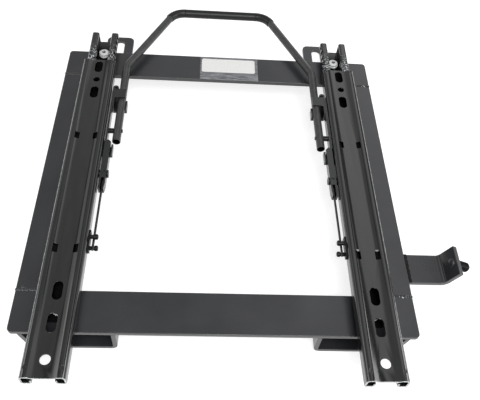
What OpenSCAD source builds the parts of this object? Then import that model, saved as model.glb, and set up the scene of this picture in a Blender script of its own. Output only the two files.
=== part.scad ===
// Seat slide rail set: two ball slide rails on a welded flat bar base, with a
// loop handle that lifts both latch levers and an arm for the belt buckle.
// Millimetres, Z up, Y forward. The origin is on the floor, midway between the
// two rear floor bolts.

/* [Base frame] */
// Overall width of the welded base
frame_w = 448; // [400:1:520]
// Overall length of the welded base
frame_l = 450; // [400:1:500]
// Width of the flat bar
bar_w = 50; // [44:1:54]
// Thickness of the flat bar
bar_t = 6; // [5:0.5:8]
// Radius of the four outer corners
bar_corner_r = 5; // [2:0.5:9]
// Height of the top of the bars above the floor
deck_h = 42; // [38:1:60]

/* [Feet] */
// Thickness of the foot straps
foot_t = 5; // [4:0.5:6]
// Inside bend radius of the foot straps
foot_bend_r = 3; // [2:0.5:5]
// Width of a rear foot where it meets the bar
rear_foot_w = 104; // [90:1:110]
// Lean of the outer wall of a rear foot, in degrees
rear_foot_lean = 12; // [0:1:16]
// Distance from the centre line to the inner wall of a rear foot
rear_foot_x = 110.5; // [105:0.5:118]
// Distance from the centre line to the floor bolts
floor_bolt_x = 160; // [158:0.5:163]
// Diameter of the rear floor bolt holes
floor_hole_d = 12; // [9:0.5:14]
// Width of the front floor slots
floor_slot_w = 14; // [10:0.5:15]
// Overall length of the front floor slots
floor_slot_l = 36; // [24:1:44]
// Width of a front foot
front_foot_w = 42; // [38:1:46]
// Length of the front foot flange under the front bar
front_flange_l = 38; // [30:1:42]
// Distance from the front bar to the middle of the floor slot
front_slot_reach = 55; // [44:1:60]
// Metal left in front of the floor slot
front_tab_edge = 9; // [8:1:20]
// Corner radius of the front tab
front_tab_r = 8; // [4:0.5:12]

/* [Rails] */
// Distance between the centre lines of the two rails
rail_spacing = 345; // [338:1:352]
// Thickness of the rail sheet
rail_t = 2; // [1.6:0.1:2.2]
// Overall width of an upper rail
upper_w = 45.5; // [44:0.5:48]
// Height of the upper rail's top above the bars
upper_top = 24.4; // [23.6:0.2:27]
// Height of the upper rail's bottom edge above the bars
upper_bottom = 7.6; // [6.4:0.2:8]
// Length of an upper rail
upper_l = 464; // [440:1:480]
// Distance the upper rail stands back behind the lower rail
upper_set_back = 69; // [60:1:80]
// Depth of the sunk middle of the upper rail
upper_drop = 2; // [1:0.1:2.4]
// Half width of the sunk middle
upper_web_half = 10.4; // [9.4:0.1:11]
// Width of the sloping step beside the sunk middle
upper_step = 4; // [2.6:0.1:4.6]
// Outside radius of the upper rail's shoulders
upper_shoulder_r = 5; // [4:0.1:5.4]
// Outside radius of the tighter rail bends
rail_bend_r = 3; // [2.6:0.1:3.2]
// Half of the clear width inside a lower rail
lower_half = 9; // [8.6:0.1:9.2]
// Distance the lower rail reaches past the front bar
lower_front = 21; // [15:1:30]
// Distance the lower rail stops short of the base's rear edge
lower_rear = 11; // [6:1:14]
// Gap between the lower rail's top and the upper rail's web
rail_top_gap = 1; // [0.6:0.1:1.4]
// Gap between the lower rail's lip and the upper rail's wall
rail_side_gap = 1.55; // [1.1:0.05:1.9]
// Gap between the upper rail's inner lip and the lower rail's wall
rail_lip_gap = 0.6; // [0.4:0.1:0.8]
// Gap above the upper rail's return flange and above its lip
rail_foot_gap = 1; // [0.7:0.1:1.6]
// Pitch of the latch notches
notch_pitch = 12; // [10:0.5:14]
// Length of one latch notch
notch_l = 6; // [4:0.5:7]
// Number of latch notches
notch_count = 20; // [12:1:20]

/* [Seat fixings] */
// Width of the seat bolt slots
seat_slot_w = 10.5; // [8.5:0.5:12]
// Overall length of the seat bolt slots
seat_slot_l = 22; // [16:1:26]
// Front seat slots, distances from the upper rail's front end
seat_front_1 = 14; // [13.5:0.5:16]
// Second front seat slot, distance from the front end
seat_front_2 = 65; // [62:1:80]
// Small locating hole, distance from the front end
seat_pilot = 40; // [35:1:44]
// Diameter of the small locating hole
seat_pilot_d = 9; // [5:0.5:10]
// Round rear hole, distance from the upper rail's rear end
seat_rear_hole = 19.5; // [16:0.5:24]
// Diameter of the round rear hole
seat_rear_hole_d = 11; // [9:0.5:14]
// Rear seat slot, distance from the rear end
seat_rear_1 = 59; // [54:1:66]
// Second rear seat slot, distance from the rear end
seat_rear_2 = 96; // [90:1:104]
// Length of the small lanced windows beside the web
lance_l = 11; // [7:0.5:12]
// Width of the lanced windows
lance_w = 5.5; // [3:0.5:6]
// Distance of the lanced windows from the rail's middle
lance_x = 11.4; // [10.8:0.1:12]
// Rear pair of lanced windows, distance from the rear end
lance_rear = 149; // [140:1:156]
// Front pair of lanced windows, distance from the front end
lance_front = 145; // [132:1:152]
// Diameter of the punched stop dents in the shoulders
dent_d = 4; // [3:0.5:5]
// Depth of the stop dents
dent_depth = 0.8; // [0.4:0.1:1]
// Distance of the stop dents from the rail's side walls
dent_in = 4.3; // [3.8:0.1:5]
// Stop dents, distance from the front end
dent_front = 5; // [4:0.5:8]
// Stop dents, distance from the rear end
dent_rear = 11; // [8:0.5:14]

/* [Ball strips] */
// Length of a ball strip
ball_strip_l = 320; // [280:1:330]
// Distance from the lower rail's rear end to the ball strips
ball_strip_y = 34; // [28:1:38]
// Number of balls in one strip
ball_count = 8; // [4:1:12]
// Gap between a ball and each rail
ball_gap = 0.3; // [0.25:0.05:0.4]
// Thickness of the strip that carries the balls
ball_cage_t = 1.2; // [0.8:0.1:1.6]
// Height of the strip that carries the balls
ball_cage_h = 3.8; // [3:0.1:4.2]

/* [Latch] */
// Gap between a lever and the upper rail's wall
lever_gap = 1; // [0.8:0.1:1.4]
// Thickness of the lever's outer plate
lever_t = 2.5; // [2:0.1:3]
// Thickness of the lever's inner wall and top
lever_wall = 2; // [1.6:0.1:2.4]
// Width of the folded rear half of a lever
lever_w = 8; // [7.6:0.1:9]
// Height of a lever
lever_h = 10; // [9:0.5:11]
// Cut corner at the front of the folded half
lever_corner = 3; // [1:0.5:4]
// Diameter of the dimple in the lever's top, above the pivot
lever_hole_d = 4.4; // [3:0.1:5]
// Height of the handle, pins and levers above the bars
latch_z = 13; // [12.4:0.1:13.4]
// Pivot pin, distance from the upper rail's rear end
pivot_y = 264; // [250:1:272]
// Diameter of the pivot pins
pivot_d = 6; // [5:0.5:6.5]
// Diameter of the pivot pin heads
pivot_head_d = 10; // [8:0.5:11]
// Running clearance round the pivot pins, on the radius
pivot_gap = 0.08; // [0.05:0.01:0.1]
// Length of the fork behind the pivot
fork_l = 17; // [14:0.5:19]
// Distance from the pivot to the fork's mouth end
fork_y = 26; // [24:0.5:28]
// Thickness of the floor under the fork
lever_floor = 1.4; // [1:0.1:1.6]
// Length over which the fork's inner wall is thinned
fork_tip = 7; // [4:0.5:9]
// Thickness of the fork's inner wall at its end
fork_tip_t = 0.8; // [0.6:0.1:1.4]
// Distance from the pivot to the end of the folded half
fold_y = 53; // [48:1:60]
// Distance from the pivot to the claw
claw_y = 39; // [36:0.5:41]
// Thickness of the claw fingers
claw_t = 1.6; // [1.2:0.1:1.8]
// Width of the claw fingers
claw_w = 5; // [3.5:0.5:5.5]
// Length of the window that the claw fingers reach through
claw_window_l = 29; // [26:1:32]
// Gap between the claw fingers and the notched lip
claw_gap = 0.5; // [0.4:0.1:0.8]
// Length of the claw's tail on the lever's inner side
claw_tail_l = 17; // [12:0.5:18]
// Reach of the claw's tail past the lever's inner side
claw_tail = 3; // [2.4:0.1:3.4]
// Thickness of the claw's tail
claw_tail_t = 2; // [1.2:0.1:2.2]
// Distance from the pivot to the cross pin
cross_pin_y = 73; // [68:1:80]
// Diameter of the cross pins
cross_pin_d = 5; // [4:0.5:6]
// Clearance round the cross pins, on the radius
cross_pin_gap = 0.05; // [0.02:0.01:0.1]
// Distance from the pivot to the back of the clip
clip_y = 113; // [106:1:118]
// Length of a clip
clip_l = 32; // [28:1:36]
// Length of the closed top of a clip
clip_top_l = 16.5; // [12:0.5:20]
// Height of the tab at the back of a clip
clip_tab_h = 9; // [5:0.5:14]
// Thickness of the clip sheet
clip_t = 2; // [1.5:0.1:2.4]
// Gap round the handle inside a clip
clip_gap = 0.2; // [0.15:0.05:0.3]
// Gap between a clip and the lever it is riveted to
clip_seat = 0.05; // [0.02:0.01:0.1]
// Inside radius of the curled hook in front of a clip
hook_r = 1.3; // [1:0.1:1.4]
// Distance of the hook's bend from the front of the clip
hook_y = 6; // [1:0.5:8]
// Height of the curled hook
hook_h = 7; // [5:0.5:8]

/* [Return springs] */
// Spring anchor, distance from the pivot back to its front peg
anchor_y = 96; // [90:1:102]
// Distance between the two pegs
peg_pitch = 10.5; // [9:0.5:18]
// Diameter of the pegs
peg_d = 5; // [4:0.5:5.5]
// Diameter of the peg heads
peg_head_d = 6.6; // [5.6:0.1:7]
// Length of the peg heads
peg_head_l = 3.6; // [2.4:0.1:4.4]
// Diameter of the spring wire
wire_d = 2.8; // [2.2:0.1:2.9]
// Clearance between the spring wire and the pegs
wire_gap = 0.05; // [0.02:0.01:0.1]
// Thickness of the anchor plate
anchor_t = 2; // [1.5:0.1:2.4]

/* [Handle] */
// Diameter of the handle rod
rod_d = 11; // [10:0.5:12.4]
// Gap between a lever and the handle rod
rod_gap = 0.25; // [0.2:0.05:0.4]
// Wall of the tube at the handle's open ends
rod_wall = 1.8; // [1.2:0.1:2.4]
// Depth of the bore in the handle's open ends
rod_bore_l = 12; // [8:1:14]
// Distance from the pivot to the rod's rear end
rod_back = 54; // [53:0.5:58]
// Distance from the pivot to the corner where the rod turns inward
rod_corner = 200; // [188:1:208]
// Distance from the pivot to the front of the loop
rod_front = 329; // [315:1:340]
// Half length of the loop's front, between its corners
rod_front_half = 72; // [62:1:82]
// Centre line radius of the bends at the loop's front
rod_bend_r = 26; // [20:1:34]
// Centre line radius of the bends where the rod turns inward
rod_corner_r = 18; // [14:1:30]
// Thickness of the grip sleeve
grip_t = 0.8; // [0.6:0.1:2]
// Clearance under the grip sleeve
grip_gap = 0.05; // [0.02:0.01:0.1]

/* [Rail bolts] */
// Diameter of the rail bolts
bolt_d = 8; // [6:0.5:8.5]
// Diameter of the rail bolt heads
bolt_head_d = 13.5; // [12:0.5:14]
// Height of the rail bolt heads
bolt_head_h = 4.6; // [3.6:0.1:5.4]
// Diameter of the washer under the bolt heads
bolt_washer_d = 14.6; // [14:0.2:16]
// Thickness of that washer
bolt_washer_t = 1.6; // [1:0.1:2]
// Radius of the low crown on the bolt heads
bolt_crown_r = 19; // [12:1:30]
// Width across flats of the bolt socket
bolt_socket = 5; // [4:0.5:5.5]
// Clearance round the rail bolts, on the radius
bolt_gap = 0.1; // [0.05:0.01:0.2]
// Distance from the base's front edge to the front rail bolts
bolt_front = 9; // [8:0.5:16]

/* [Buckle arm] */
// Thickness of the buckle arm
arm_t = 6; // [5:0.5:8]
// Width of the buckle arm
arm_w = 38; // [32:1:44]
// Height of the arm's top below the top of the bars
arm_drop = 2; // [1:0.5:4]
// Distance from the base's rear edge to the middle of the arm
arm_y = 89; // [80:1:110]
// Length of the arm's flat part
arm_flat = 39; // [34:1:46]
// Inside bend radius of the arm
arm_bend_r = 6; // [4:0.5:8]
// Angle of the arm's turned up end
arm_angle = 65; // [55:1:75]
// Length of the arm's turned up end
arm_end_l = 21.5; // [20:0.5:26]
// Diameter of the buckle stud
stud_d = 12; // [10:0.5:13]
// Length of the buckle stud
stud_l = 20; // [16:0.5:24]
// Distance from the bend to the middle of the stud
stud_s = 13; // [12.5:0.1:13.5]

/* [Hidden] */
$fn = 64;
cut = 1;
rail_x = rail_spacing / 2;
base_y0 = -bar_w / 2;
base_y1 = base_y0 + frame_l;
side_l = frame_l - 2 * bar_w;
lower_y0 = base_y0 + lower_rear;
lower_l = base_y1 + lower_front - lower_y0;
upper_y0 = lower_y0 - upper_set_back;
upper_y1 = upper_y0 + upper_l;
lip_x = lower_half + rail_t + rail_lip_gap;
lower_out = upper_w / 2 - rail_t - rail_side_gap;
lower_top = upper_top - upper_drop - rail_t - rail_top_gap;
lower_lip_z = upper_bottom + rail_t + rail_foot_gap;
upper_lip_z = lower_top - rail_t - 1.9 * rail_foot_gap;
notch_depth = rail_t + 0.5;
notch_z = lower_lip_z + 1.4;
ball_x = (lip_x + lower_out) / 2;
ball_z = (lower_lip_z + upper_lip_z) / 2;
ball_d = lower_out - lip_x - 2 * rail_t - 2 * ball_gap;
pivot_at = upper_y0 + pivot_y;
lever_x = upper_w / 2 + lever_gap;
lever_in = lever_x + lever_w;
wire_x = (lever_x + lever_t + lever_in - lever_wall) / 2;
rod_x = lever_in + rod_gap + rod_d / 2;
rod_half = rail_x - rod_x;
rod_turn = atan2(rod_half - rod_front_half, rod_front - rod_corner);
slope_l = norm([rod_half - rod_front_half, rod_front - rod_corner]);
bend_a_l = rod_corner_r * tan(rod_turn / 2);
bend_b_l = rod_bend_r * tan((90 - rod_turn) / 2);
bend_lap = 0.6;
bend_swell = 0.05;
hook_lap = 0.4;
claw_z = latch_z + 0.4;
clip_x0 = lever_x + lever_t + clip_seat;
clip_x1 = rod_x + rod_d / 2 + clip_gap;
clip_z = latch_z + rod_d / 2 + clip_gap;
arm_z = deck_h - arm_drop - arm_t;
foot_h = deck_h - bar_t;
front_rail_bolt_y = base_y1 - bolt_front;

// Sheet bend drawn as a ring sector between two angles.
module bend_arc(r, t, a0, a1) {
  intersection() {
    difference() {
      circle(r + t);
      circle(r);
    }
    polygon(concat([[0, 0]],
      [for (i = [0:4]) 2 * (r + t) * [cos(a0 + (a1 - a0) * i / 4), sin(a0 + (a1 - a0) * i / 4)]]));
  }
}

// Profile in X and Z pulled along Y.
module along_y(y, len) {
  translate([0, y + len, 0])
    rotate([90, 0, 0])
      linear_extrude(len)
        children();
}

// Profile in Y and Z pulled along X.
module along_x(x, len) {
  translate([x, 0, 0])
    rotate([90, 0, 90])
      linear_extrude(len)
        children();
}

// Round bar lying along X.
module pin_x(x, len, d) {
  translate([x, 0, 0])
    rotate([0, 90, 0])
      cylinder(h = len, d = d);
}

// Slot that runs along Y, centred on the origin.
module slot(w, l, h) {
  linear_extrude(h) {
    square([w, l - w], center = true);
    translate([0, (l - w) / 2]) circle(d = w);
    translate([0, (w - l) / 2]) circle(d = w);
  }
}

// Puts its children in a left rail's own place: X runs inward, Z up from the bars.
module at_left_rail() {
  translate([-rail_x, 0, deck_h]) children();
}

// Same place, with the origin on the lever's pivot line.
module at_left_pivot() {
  translate([-rail_x, pivot_at, deck_h + latch_z]) children();
}

// Flat cross bar with two rounded corners on its outer edge.
module cross_bar() {
  difference() {
    linear_extrude(bar_t) {
      translate([-frame_w / 2, bar_corner_r]) square([frame_w, bar_w - bar_corner_r]);
      translate([bar_corner_r - frame_w / 2, 0]) square([frame_w - 2 * bar_corner_r, bar_w]);
      translate([bar_corner_r - frame_w / 2, bar_corner_r]) circle(bar_corner_r);
      translate([frame_w / 2 - bar_corner_r, bar_corner_r]) circle(bar_corner_r);
    }
    children();
  }
}

module rear_cross_bar() {
  color("#2b2c2e")
    translate([0, base_y0, deck_h - bar_t])
      cross_bar()
        for (s = [-1, 1])
          translate([s * rail_x, -base_y0, -cut])
            cylinder(h = bar_t + 2 * cut, d = bolt_d + 2 * bolt_gap);
}

module front_cross_bar() {
  color("#2b2c2e")
    translate([0, base_y1, deck_h - bar_t])
      mirror([0, 1, 0])
        cross_bar()
          for (s = [-1, 1])
            translate([s * rail_x, bolt_front, -cut])
              cylinder(h = bar_t + 2 * cut, d = bolt_d + 2 * bolt_gap);
}

module left_side_bar() {
  color("#2b2c2e")
    translate([-frame_w / 2, base_y0 + bar_w, deck_h - bar_t])
      cube([bar_w, side_l, bar_t]);
}

module right_side_bar() {
  mirror([1, 0, 0]) left_side_bar();
}

// Bent strap under the rear bar: upright inner wall, flat sole, leaning outer wall.
module rear_foot_profile() {
  r = foot_bend_r + foot_t;
  lean = rear_foot_lean;
  rise = foot_h - r + r * sin(lean);
  run = rise * tan(lean) + r / cos(lean) - r * sin(lean) * tan(lean);
  sole = round(100 * (rear_foot_w - run)) / 100;
  translate([0, r]) square([foot_t, foot_h - r]);
  translate([r, r]) bend_arc(foot_bend_r, foot_t, 180, 270);
  translate([r, 0]) square([sole - r, foot_t]);
  intersection() {
    translate([sole, r])
      union() {
        bend_arc(foot_bend_r, foot_t, -90, -lean);
        rotate(-lean)
          translate([foot_bend_r + bend_swell, -bend_lap])
            square([foot_t - 2 * bend_swell, 2 * foot_h]);
      }
    square([2 * rear_foot_w, foot_h]);
  }
}

module rear_right_foot() {
  color("#2a2b2d")
    difference() {
      translate([rear_foot_x, 0, 0])
        along_y(base_y0, bar_w) rear_foot_profile();
      translate([floor_bolt_x, 0, -cut])
        cylinder(h = foot_t + 2 * cut, d = floor_hole_d);
    }
}

module rear_left_foot() {
  mirror([1, 0, 0]) rear_right_foot();
}

// Stepped strap: flange under the front bar, riser, then a slotted tab on the floor.
module front_foot_profile() {
  r = foot_bend_r + foot_t;
  riser = base_y1 - 2;
  tip = base_y1 + front_slot_reach + floor_slot_l / 2 + front_tab_edge;
  translate([riser - front_flange_l, foot_h - foot_t]) square([front_flange_l - r, foot_t]);
  translate([riser - r, foot_h - r]) bend_arc(foot_bend_r, foot_t, 0, 90);
  translate([riser - foot_t, r]) square([foot_t, foot_h - 2 * r]);
  translate([riser - foot_t + r, r]) bend_arc(foot_bend_r, foot_t, 180, 270);
  translate([riser - foot_t + r, 0]) square([tip - riser + foot_t - r, foot_t]);
}

module front_left_foot() {
  tip = base_y1 + front_slot_reach + floor_slot_l / 2 + front_tab_edge;
  color("#2a2b2d")
    difference() {
      intersection() {
        along_x(-floor_bolt_x - front_foot_w / 2, front_foot_w) front_foot_profile();
        translate([-floor_bolt_x, 0, -cut])
          linear_extrude(foot_h + 2 * cut) {
            translate([-front_foot_w / 2, 0]) square([front_foot_w, tip - front_tab_r]);
            translate([front_tab_r - front_foot_w / 2, 0]) square([front_foot_w - 2 * front_tab_r, tip]);
            translate([front_tab_r - front_foot_w / 2, tip - front_tab_r]) circle(front_tab_r);
            translate([front_foot_w / 2 - front_tab_r, tip - front_tab_r]) circle(front_tab_r);
          }
      }
      translate([-floor_bolt_x, base_y1 + front_slot_reach, -cut])
        slot(floor_slot_w, floor_slot_l, foot_t + 2 * cut);
    }
}

module front_right_foot() {
  mirror([1, 0, 0]) front_left_foot();
}

// Flat arm welded to the right side bar, turned up at its end.
module arm_profile() {
  a = arm_angle - 90;
  square([arm_flat, arm_t]);
  translate([arm_flat, arm_t + arm_bend_r]) {
    bend_arc(arm_bend_r, arm_t, -90, a);
    rotate(a)
      translate([arm_bend_r + bend_swell, -bend_lap])
        square([arm_t - 2 * bend_swell, arm_end_l + bend_lap]);
  }
}

module at_stud() {
  translate([frame_w / 2 + arm_flat, base_y0 + arm_y, arm_z + arm_t + arm_bend_r])
    rotate([0, 90 - arm_angle, 0])
      translate([arm_bend_r + arm_t - bend_swell, 0, stud_s])
        children();
}

module buckle_arm() {
  color("#2b2c2e")
    translate([frame_w / 2, 0, arm_z])
      along_y(base_y0 + arm_y - arm_w / 2, arm_w) arm_profile();
}

module buckle_stud() {
  color("#1d1e20")
    at_stud()
      rotate([0, 90, 0]) {
        cylinder(h = stud_l - 1.5, d = stud_d);
        translate([0, 0, stud_l - 1.5]) cylinder(h = 1.5, d1 = stud_d, d2 = stud_d - 3);
      }
}

// Half of the lower rail's section: floor, wall, outward top and hanging lip.
module lower_half_profile() {
  b = rail_bend_r;
  wall = lower_half + rail_t;
  square([wall - b, rail_t]);
  translate([wall - b, b]) bend_arc(b - rail_t, rail_t, -90, 0);
  translate([lower_half, b]) square([rail_t, lower_top - 2 * b]);
  translate([lower_half + b, lower_top - b]) bend_arc(b - rail_t, rail_t, 90, 180);
  translate([lower_half + b, lower_top - rail_t]) square([lower_out - lower_half - 2 * b, rail_t]);
  translate([lower_out - b, lower_top - b]) bend_arc(b - rail_t, rail_t, 0, 90);
  translate([lower_out - rail_t, lower_lip_z]) square([rail_t, lower_top - b - lower_lip_z]);
}

module left_lower_rail() {
  first = lower_y0 + lower_l - notch_pitch * notch_count;
  color("#26282a")
    at_left_rail()
      difference() {
        along_y(lower_y0, lower_l) {
          lower_half_profile();
          mirror([1, 0]) lower_half_profile();
        }
        for (i = [0:notch_count - 1])
          translate([lower_out - notch_depth, first + i * notch_pitch, notch_z])
            cube([notch_depth + cut, notch_l, lower_top]);
        for (y = [0, front_rail_bolt_y])
          translate([0, y, -cut])
            cylinder(h = rail_t + 2 * cut, d = bolt_d + 2 * bolt_gap);
      }
}

module right_lower_rail() {
  mirror([1, 0, 0]) left_lower_rail();
}

// Half of the upper rail's section: sunk web, step, shoulder, wall, flange and lip.
module upper_half_profile() {
  b = rail_bend_r;
  s = upper_shoulder_r;
  web_top = upper_top - upper_drop;
  step_x = upper_web_half + upper_step;
  half = upper_w / 2;
  translate([0, web_top - rail_t]) square([upper_web_half, rail_t]);
  polygon([[upper_web_half, web_top - rail_t], [step_x, upper_top - rail_t],
    [step_x, upper_top], [upper_web_half, web_top]]);
  translate([step_x, upper_top - rail_t]) square([half - s - step_x, rail_t]);
  translate([half - s, upper_top - s]) bend_arc(s - rail_t, rail_t, 0, 90);
  translate([half - rail_t, upper_bottom + b]) square([rail_t, upper_top - s - upper_bottom - b]);
  translate([half - b, upper_bottom + b]) bend_arc(b - rail_t, rail_t, -90, 0);
  translate([lip_x + b, upper_bottom]) square([half - lip_x - 2 * b, rail_t]);
  translate([lip_x + b, upper_bottom + b]) bend_arc(b - rail_t, rail_t, 180, 270);
  translate([lip_x, upper_bottom + b]) square([rail_t, upper_lip_z - upper_bottom - b]);
}

module left_upper_rail() {
  window_z = latch_z - 1;
  color("#242625")
    at_left_rail()
      difference() {
        along_y(upper_y0, upper_l) {
          upper_half_profile();
          mirror([1, 0]) upper_half_profile();
        }
        for (y = [upper_y1 - seat_front_1, upper_y1 - seat_front_2,
            upper_y0 + seat_rear_1, upper_y0 + seat_rear_2])
          translate([0, y, lower_top])
            slot(seat_slot_w, seat_slot_l, upper_top);
        translate([0, upper_y1 - seat_pilot, lower_top])
          cylinder(h = upper_top, d = seat_pilot_d);
        translate([0, upper_y0 + seat_rear_hole, lower_top])
          cylinder(h = upper_top, d = seat_rear_hole_d);
        for (y = [upper_y0 + lance_rear, upper_y1 - lance_front], s = [-1, 1])
          translate([s * lance_x - lance_w / 2, y - lance_l / 2, lower_top])
            cube([lance_w, lance_l, upper_top]);
        for (y = [upper_y0 + dent_rear, upper_y1 - dent_front], s = [-1, 1])
          translate([s * (upper_w / 2 - dent_in), y, upper_top - dent_depth])
            cylinder(h = upper_drop, d = dent_d);
        translate([upper_w / 2 - rail_t - 0.01, pivot_at + claw_y - claw_window_l / 2, window_z])
          cube([rail_t + cut, claw_window_l, upper_top - upper_shoulder_r - window_z]);
        translate([0, pivot_at, latch_z])
          pin_x(upper_w / 2 - rail_t - cut, rail_t + 2 * cut, pivot_d);
      }
}

module right_upper_rail() {
  mirror([1, 0, 0]) left_upper_rail();
}

// Shouldered pin riveted into the upper rail's wall; the lever turns on it.
module left_pivot_pin() {
  wall = upper_w / 2;
  color("#3a3b3c")
    at_left_pivot() {
      pin_x(wall - rail_t, lever_in + lever_gap - wall + rail_t, pivot_d);
      pin_x(wall, lever_gap - 0.3, pivot_head_d);
      pin_x(lever_in + 0.3, 1.6, pivot_head_d);
    }
}

module right_pivot_pin() {
  mirror([1, 0, 0]) left_pivot_pin();
}

// Plate on the upper rail's wall with two pegs that hold the spring wire.
module left_spring_anchor() {
  wall = upper_w / 2;
  rise = (wire_d + peg_d) / 2 + wire_gap;
  peg_l = wire_x - wall + wire_d / 2 + 0.4;
  color("#1f2021")
    at_left_pivot() {
      along_x(wall, anchor_t)
        translate([-anchor_y - peg_pitch - 8, upper_bottom + rail_bend_r - latch_z])
          square([peg_pitch + 16, upper_top - upper_shoulder_r - upper_bottom - rail_bend_r]);
      for (p = [0, 1])
        translate([0, -anchor_y - p * peg_pitch, p == 0 ? rise : -rise]) {
          pin_x(wall, peg_l, peg_d);
          pin_x(wall + peg_l, peg_head_l - 1, peg_head_d);
          translate([wall + peg_l + peg_head_l - 1, 0, 0])
            rotate([0, 90, 0])
              cylinder(h = 1, d1 = peg_head_d, d2 = peg_head_d - 2);
        }
    }
}

module right_spring_anchor() {
  mirror([1, 0, 0]) left_spring_anchor();
}

// Straight spring wire, held between the pegs and reaching into the lever's fork.
module left_spring_wire() {
  y0 = -anchor_y - peg_pitch - peg_d;
  y1 = -fork_y + fork_l - 3;
  color("#1a1b1c")
    at_left_pivot()
      translate([wire_x, y1, 0])
        rotate([90, 0, 0])
          cylinder(h = y1 - y0, d = wire_d);
}

module right_spring_wire() {
  mirror([1, 0, 0]) left_spring_wire();
}

// Row of balls in a thin strip, between the upper rail's lip and the lower rail's lip.
module ball_strip() {
  step = ball_strip_l / ball_count;
  translate([ball_x - ball_cage_t / 2, lower_y0 + ball_strip_y, ball_z - ball_cage_h / 2])
    cube([ball_cage_t, ball_strip_l, ball_cage_h]);
  for (i = [0:ball_count - 1])
    translate([ball_x, lower_y0 + ball_strip_y + step * (i + 0.5), ball_z])
      sphere(d = ball_d);
}

module left_inner_balls() {
  color("#9a9c9e")
    at_left_rail() ball_strip();
}

module left_outer_balls() {
  color("#9a9c9e")
    at_left_rail() mirror([1, 0, 0]) ball_strip();
}

module right_inner_balls() {
  mirror([1, 0, 0]) left_inner_balls();
}

module right_outer_balls() {
  mirror([1, 0, 0]) left_outer_balls();
}

// Latch lever: long plate beside the rail, folded over at its rear half, with a
// fork for the spring wire, two claw fingers with a tail, and a curled hook in front.
module left_lever() {
  front = clip_y + clip_l + hook_y;
  inner = lever_in - lever_wall;
  fold_end = fold_y - lever_corner;
  tail_z = 0.4 - lever_h / 2;
  color("#1e1f20")
    at_left_pivot()
      difference() {
        union() {
          along_x(lever_x, lever_t)
            translate([-fork_y, -lever_h / 2]) square([front + hook_lap + fork_y, lever_h]);
          translate([lever_x + lever_t + hook_r, front, lever_h / 2 - hook_h - 0.5])
            linear_extrude(hook_h)
              bend_arc(hook_r - bend_swell, lever_t + 2 * bend_swell, -10, 180);
          translate([0, 0, -lever_h / 2])
            linear_extrude(lever_h)
              polygon([[inner, -fork_y], [inner + fork_tip_t, -fork_y], [lever_in, fork_tip - fork_y],
                [lever_in, fold_end], [inner, fold_end]]);
          translate([0, 0, lever_h / 2 - lever_wall])
            linear_extrude(lever_wall)
              polygon([[lever_x, fork_l - fork_y], [lever_in, fork_l - fork_y], [lever_in, fold_end],
                [lever_in - lever_corner, fold_y], [lever_x, fold_y]]);
          translate([0, 0, -lever_h / 2])
            linear_extrude(lever_floor)
              polygon([[lever_x, -fork_y], [inner + fork_tip_t, -fork_y], [lever_in, fork_tip - fork_y],
                [lever_in, 1.4 * fork_l - fork_y], [lever_x, 1.4 * fork_l - fork_y]]);
          for (p = [-1, 1])
            translate([lower_out + claw_gap, claw_y + p * notch_pitch / 2 - claw_w / 2, claw_z - latch_z])
              cube([lever_x - lower_out - claw_gap + lever_t / 2, claw_w, claw_t]);
          translate([lever_in - lever_wall / 2, claw_y - claw_tail_l / 2, tail_z])
            cube([lever_wall / 2 + claw_tail, claw_tail_l, claw_t]);
          translate([lever_in + claw_tail - claw_tail_t, claw_y - claw_tail_l / 2, tail_z])
            cube([claw_tail_t, claw_tail_l, 0.7 * lever_h]);
        }
        pin_x(lever_x - cut, lever_w + 2 * cut, pivot_d + 2 * pivot_gap);
        translate([0, cross_pin_y, 0])
          pin_x(lever_x - cut, lever_t + 2 * cut, cross_pin_d + 2 * cross_pin_gap);
        translate([(lever_x + lever_t + inner) / 2, 0, lever_h / 2 - 0.6 * lever_wall])
          cylinder(h = lever_wall, d = lever_hole_d);
      }
}

module right_lever() {
  mirror([1, 0, 0]) left_lever();
}

// Folded clip riveted to the lever: a flap over the handle rod in front, a floor under
// it, and a low tab beside it at the back.
module left_clip() {
  top = clip_z - latch_z;
  low = -top - clip_t;
  tab_l = clip_l - clip_top_l;
  color("#212223")
    at_left_pivot() {
      along_x(clip_x0, clip_t)
        translate([clip_y, low]) square([clip_l, top + clip_t - low]);
      along_x(clip_x0, rod_x + rod_d / 2 - clip_x0)
        translate([clip_y + tab_l, top]) square([clip_top_l, clip_t]);
      along_x(clip_x0, rod_x - clip_x0)
        translate([clip_y, low]) square([clip_l, clip_t]);
      along_x(clip_x0, clip_x1 + clip_t - clip_x0)
        translate([clip_y, low]) square([tab_l, clip_t]);
      along_x(clip_x1, clip_t)
        translate([clip_y, low]) square([tab_l, clip_tab_h]);
    }
}

module right_clip() {
  mirror([1, 0, 0]) left_clip();
}

// Pin through the lever and the handle rod, with a spacer between them.
module left_cross_pin() {
  inner = rod_x + rod_d / 2;
  spacer_x = lever_x + lever_t + cross_pin_gap;
  color("#3a3b3c")
    at_left_pivot()
      translate([0, cross_pin_y, 0]) {
        pin_x(lever_x, inner + 1 - lever_x, cross_pin_d);
        pin_x(spacer_x, rod_x - rod_d / 2 - cross_pin_gap - spacer_x, cross_pin_d + 2);
      }
}

module right_cross_pin() {
  mirror([1, 0, 0]) left_cross_pin();
}

// Round bar lying along Y, reaching a little way into the bends at its ends.
module rod_y(y, len, r) {
  translate([0, y - bend_lap, 0])
    rotate([-90, 0, 0])
      cylinder(h = len + 2 * bend_lap, r = r);
}

// One bend of the loop; it stands proud of the straight rod by a hair.
module rod_bend(angle, r, bend_r) {
  rotate_extrude(angle = angle)
    translate([bend_r, 0]) circle(r + bend_swell);
}

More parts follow.
